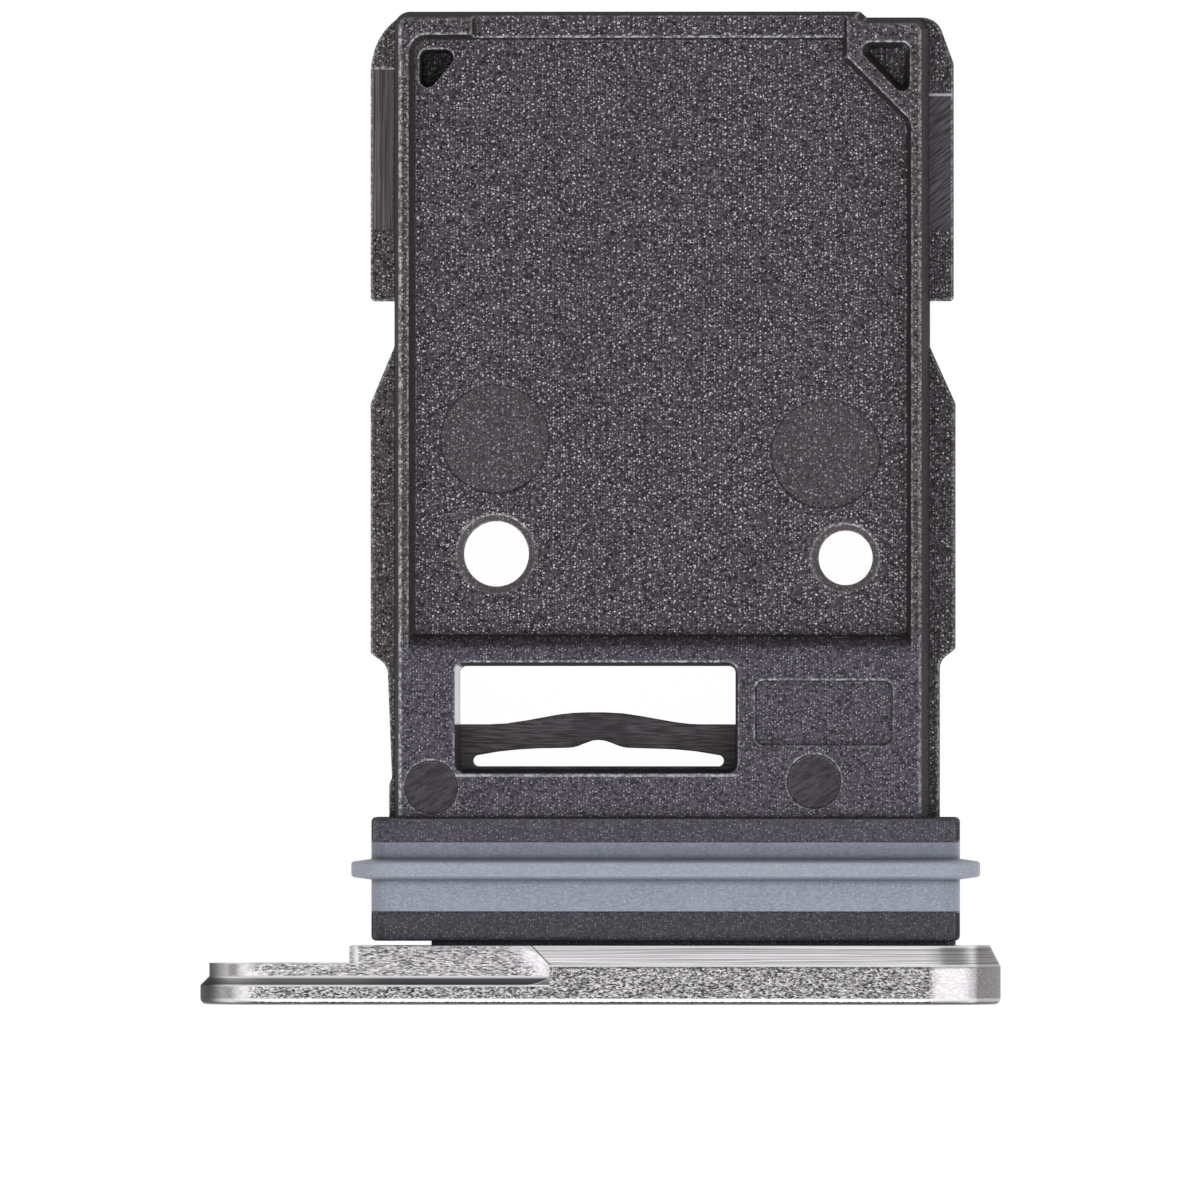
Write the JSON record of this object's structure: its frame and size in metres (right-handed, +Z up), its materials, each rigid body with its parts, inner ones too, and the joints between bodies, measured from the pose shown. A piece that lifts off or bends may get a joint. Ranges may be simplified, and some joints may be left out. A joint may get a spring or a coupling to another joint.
{
  "type": "sim card tray",
  "caption": "Slim plastic card tray for a phone, with guide rails, a sprung bar, a rubber seal round its neck and a pill-shaped metal end cap with an eject hole.",
  "frame": {"origin": "middle of the end cap's flat outer face", "axes": "+Y from the cap's outer face along the tray, the way it goes into the phone; +Z up, out of the recessed face; +X to the right along the cap, seen from above with the cap nearest"},
  "size_m": [0.0142, 0.0177, 0.0026],
  "materials": {
    "tray_plastic": "charcoal moulded plastic with a fine sparkling spark-eroded grain",
    "seal_rubber": "matte blue-grey silicone",
    "cap_metal": "bead-blasted and clear anodised silver, with a milled bevel"
  },
  "bodies": {
    "root": {"tray_body": "tray_plastic", "seal_ring": "seal_rubber", "end_cap": "cap_metal"}
  },
  "joints": []
}
